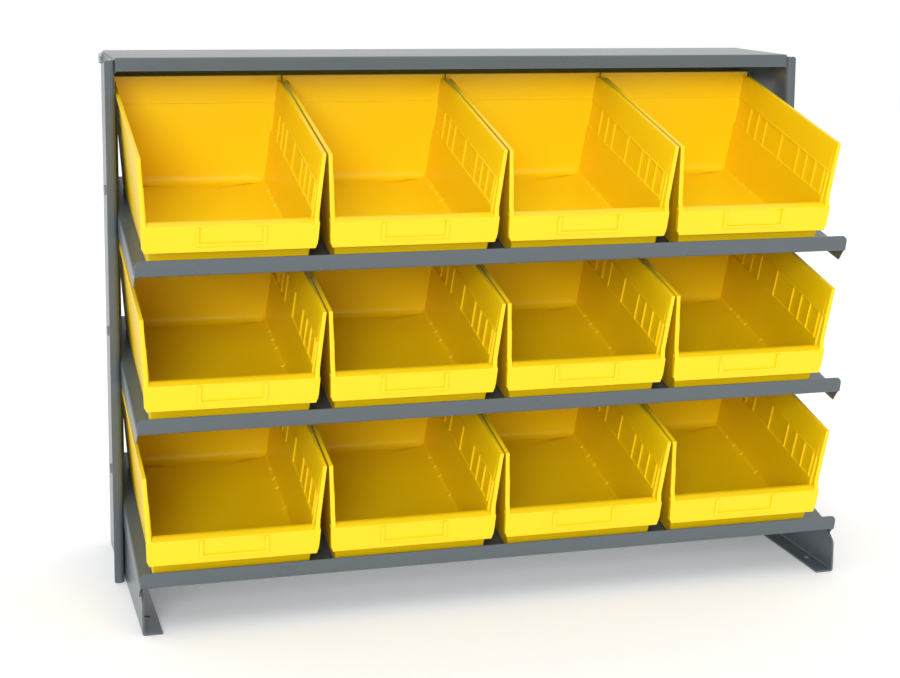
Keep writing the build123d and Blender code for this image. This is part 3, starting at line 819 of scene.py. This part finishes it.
for shelf in LIP_LEVELS:
    for column in range(4):
        move = np.array([FIRST_BIN + column * BIN_PITCH, SEAT_BACK, SEAT_UP])
        bin_name = f"{shelf}_bin_{column + 1}"
        mesh = grid_mesh("moulded_" + bin_name, [on_shelf(p + move, shelf) for p in bin_patches],
                         FINE_TOUCH, True)
        storage_bin = place_mesh("moulded_" + bin_name, mesh, yellow_plastic, BIN_SMOOTH_DEG)
        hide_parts(bin_name)
        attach(storage_bin, bin_name + "_body")

# Sixteen bolts and nuts: hexagon bolts with 1/4 in rolled threads, cold-headed steel with bright
# zinc plate. The heads lie on the outside of the uprights, the nuts inside the shelf flanges or,
# at the lowest shelf, inside the feet.
BOLT_RADIUS, BOLT_LENGTH = 0.00315, 0.019
HEX_HALF, HEAD_HEIGHT, NUT_HEIGHT = 0.00555, 0.0046, 0.0056
HEX_FLAT, CONE_SLOPE = HEX_HALF * 0.93, math.tan(math.radians(30))
THREAD_PITCH, THREAD_DEPTH = 0.00127, 0.0004
PLAIN_SHANK, THREAD_START, THREAD_END, TIP_LENGTH = 0.004, 0.0042, 0.0012, 0.0008
COUNTERSINK, HEAD_UNDERCUT, BOLT_SMOOTH_DEG = 0.0006, 0.0003, 30
HEAD_FACE, NUT_FACE, FOOT_NUT_FACE = 0.4465, 0.4433, 0.4407
SHELF_BOLTS, SHELF_BOLT_DROP = (0.215, 0.311), 0.008
TOP_BOLTS = [(0.044, 0.6495), (0.171, 0.6495)]

# Bright zinc is a thin cold-silver plating with a slight cloudiness, so it mirrors softly.
BLOOM_MM, ZINC_ROUGHNESS = 3.0, (0.22, 0.42)
zinc, zinc_tree, zinc_shader = new_material("bright_zinc_plate")
bloom = noise(zinc_tree, BLOOM_MM, 3.0)
feed(zinc_tree, zinc_shader, {"Base Color": colour("c6c9cc"), "Metallic": 1.0,
                              "Roughness": between(zinc_tree, bloom, *ZINC_ROUGHNESS)})

HEX_ANGLES = np.linspace(0, 2 * math.pi, 49)
HEX_RADII = HEX_HALF / np.cos((HEX_ANGLES + math.pi / 6) % (math.pi / 3) - math.pi / 6)
CONE_CUT = (HEX_RADII - HEX_FLAT) * CONE_SLOPE


def turned(rows):
    """Rows of (radius, height) round an axis, closed round. Both are numbers or arrays over the
    angles."""
    return np.array([vectors(radius * np.cos(HEX_ANGLES), radius * np.sin(HEX_ANGLES), height)
                     for radius, height in rows])


def hex_bolt():
    """A hexagon whose corners are cut by a cone, then a shank whose radius falls and rises with
    height and angle, which makes a helix."""
    rows = [(0.0, HEAD_HEIGHT), (HEX_FLAT, HEAD_HEIGHT), (HEX_RADII, HEAD_HEIGHT - CONE_CUT),
            (HEX_RADII, HEAD_UNDERCUT), (HEX_RADII * 0.98, 0.0), (BOLT_RADIUS, 0.0),
            (BOLT_RADIUS, -PLAIN_SHANK)]
    for z in np.arange(-THREAD_START, -BOLT_LENGTH + THREAD_END, -THREAD_PITCH / 4):
        wave = np.abs((z / THREAD_PITCH + HEX_ANGLES / (2 * math.pi)) % 1 - 0.5) * 2
        rows.append((BOLT_RADIUS - THREAD_DEPTH * wave, z))
    rows += [(BOLT_RADIUS - THREAD_DEPTH, -BOLT_LENGTH + TIP_LENGTH),
             (BOLT_RADIUS - TIP_LENGTH, -BOLT_LENGTH), (0.0, -BOLT_LENGTH)]
    return turned(rows)


def hex_nut():
    """A hexagon whose corners are cut by a cone at both ends, with a countersunk hole."""
    inner = BOLT_RADIUS - THREAD_DEPTH / 2
    return turned([(inner, COUNTERSINK), (inner + COUNTERSINK, 0.0), (HEX_FLAT, 0.0),
                   (HEX_RADII, CONE_CUT), (HEX_RADII, NUT_HEIGHT - CONE_CUT),
                   (HEX_FLAT, NUT_HEIGHT), (inner + COUNTERSINK, NUT_HEIGHT),
                   (inner, NUT_HEIGHT - COUNTERSINK), (inner, COUNTERSINK)])


def set_across(patch, side, face, outward, y, z):
    """Stands a turned part on an upright's face: its axis lies along X, outward or inward."""
    way = side * outward
    return vectors(side * face + way * patch[..., 2], y + patch[..., 0], z + way * patch[..., 1])


bolt_places = {"top": TOP_BOLTS}
for shelf in LIP_LEVELS:
    marks = on_shelf(np.array([(0, back, -SHELF_BOLT_DROP) for back in SHELF_BOLTS]), shelf)
    bolt_places[shelf] = [(mark[1], mark[2]) for mark in marks]
for shelf, places in bolt_places.items():
    nut_face = FOOT_NUT_FACE if shelf == "lower" else NUT_FACE
    bolts = [set_across(hex_bolt(), side, HEAD_FACE, 1, y, z)
             for side in (-1, 1) for y, z in places]
    nuts = [set_across(hex_nut(), side, nut_face, -1, y, z)
            for side in (-1, 1) for y, z in places]
    for kind, patches in (("bolts", bolts), ("nuts", nuts)):
        mesh = grid_mesh(f"plated_{shelf}_{kind}", patches, FINE_TOUCH, True)
        fasteners = place_mesh(f"plated_{shelf}_{kind}", mesh, zinc, BOLT_SMOOTH_DEG)
        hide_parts(f"{shelf}_shelf_{kind}")
        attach(fasteners, "rack")
